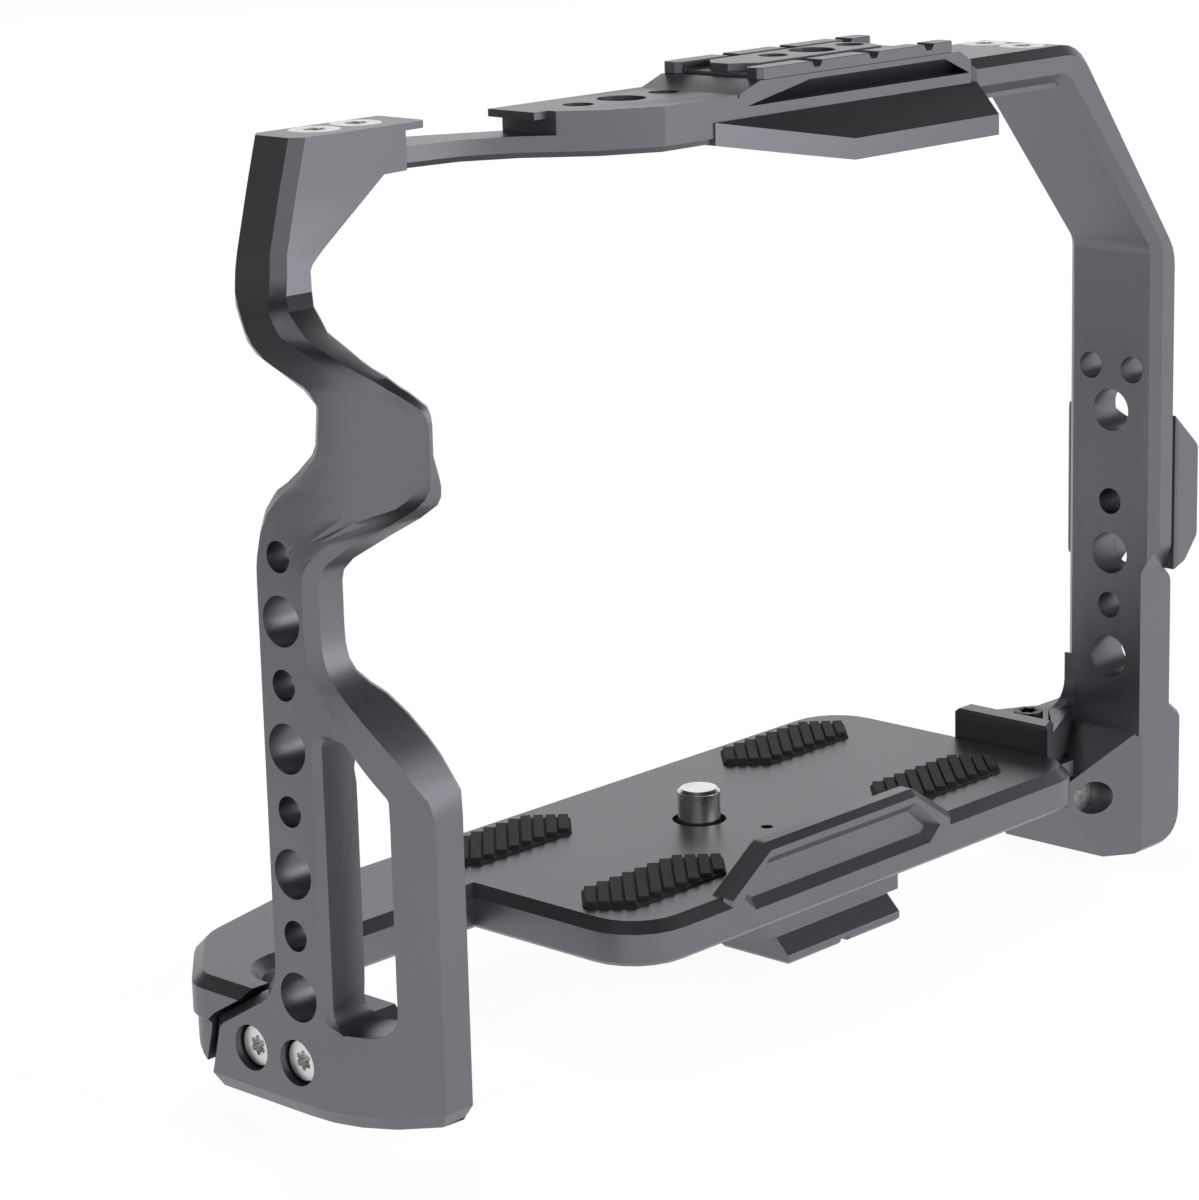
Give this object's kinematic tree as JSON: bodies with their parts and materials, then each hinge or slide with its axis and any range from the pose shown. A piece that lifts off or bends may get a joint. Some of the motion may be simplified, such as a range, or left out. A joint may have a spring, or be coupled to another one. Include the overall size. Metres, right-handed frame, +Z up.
{
  "type": "camera cage",
  "caption": "Machined frame round a camera: base plate with a captive camera screw and rubber pads, two side arms with mounting holes, top bar with accessory shoe and toothed rail.",
  "frame": {"origin": "on the camera screw's axis at the top face of the base plate", "axes": "+X from the grip-side arm to the screen-side arm, +Y from the lens side to the back, +Z up out of the base plate"},
  "size_m": [0.1807, 0.056, 0.133],
  "materials": {
    "anodised_aluminium": "bead-blasted and dark grey anodised",
    "pad_rubber": "ribbed black rubber",
    "bright_steel": "turned stainless steel",
    "black_oxide_steel": "black oxide",
    "washer_polymer": "black polymer washer"
  },
  "bodies": {
    "frame": {"base_plate": "anodised_aluminium", "grip_side_arm": "anodised_aluminium", "top_bar": "anodised_aluminium", "screen_side_arm": "anodised_aluminium", "side_receiver": "anodised_aluminium", "side_receiver_screws": "bright_steel", "quick_release_rail": "anodised_aluminium", "rail_screws": "bright_steel", "dovetail_plate": "anodised_aluminium", "dovetail_screws": "bright_steel", "pad_front_left": "pad_rubber", "pad_front_right": "pad_rubber", "pad_back_left": "pad_rubber", "pad_back_right": "pad_rubber", "grip_arm_top_screws": "bright_steel", "grip_arm_foot_screws": "bright_steel", "screen_arm_top_screws": "bright_steel", "plate_joint_screw": "black_oxide_steel", "foot_set_screw": "bright_steel", "screw_retaining_ring": "bright_steel"},
    "screw_carrier": {"camera_screw_washer": "washer_polymer"},
    "captive_screw": {"camera_screw": "bright_steel"}
  },
  "joints": [
    {"name": "screw_drop", "type": "slide", "parent": "frame", "child": "screw_carrier", "axis": [0, 0, 1], "range_m": [-0.0016, 0]},
    {"name": "screw_turn", "type": "hinge", "parent": "screw_carrier", "child": "captive_screw", "pos_m": [0, 0, 0], "axis": [0, 0, 1], "continuous": true}
  ]
}
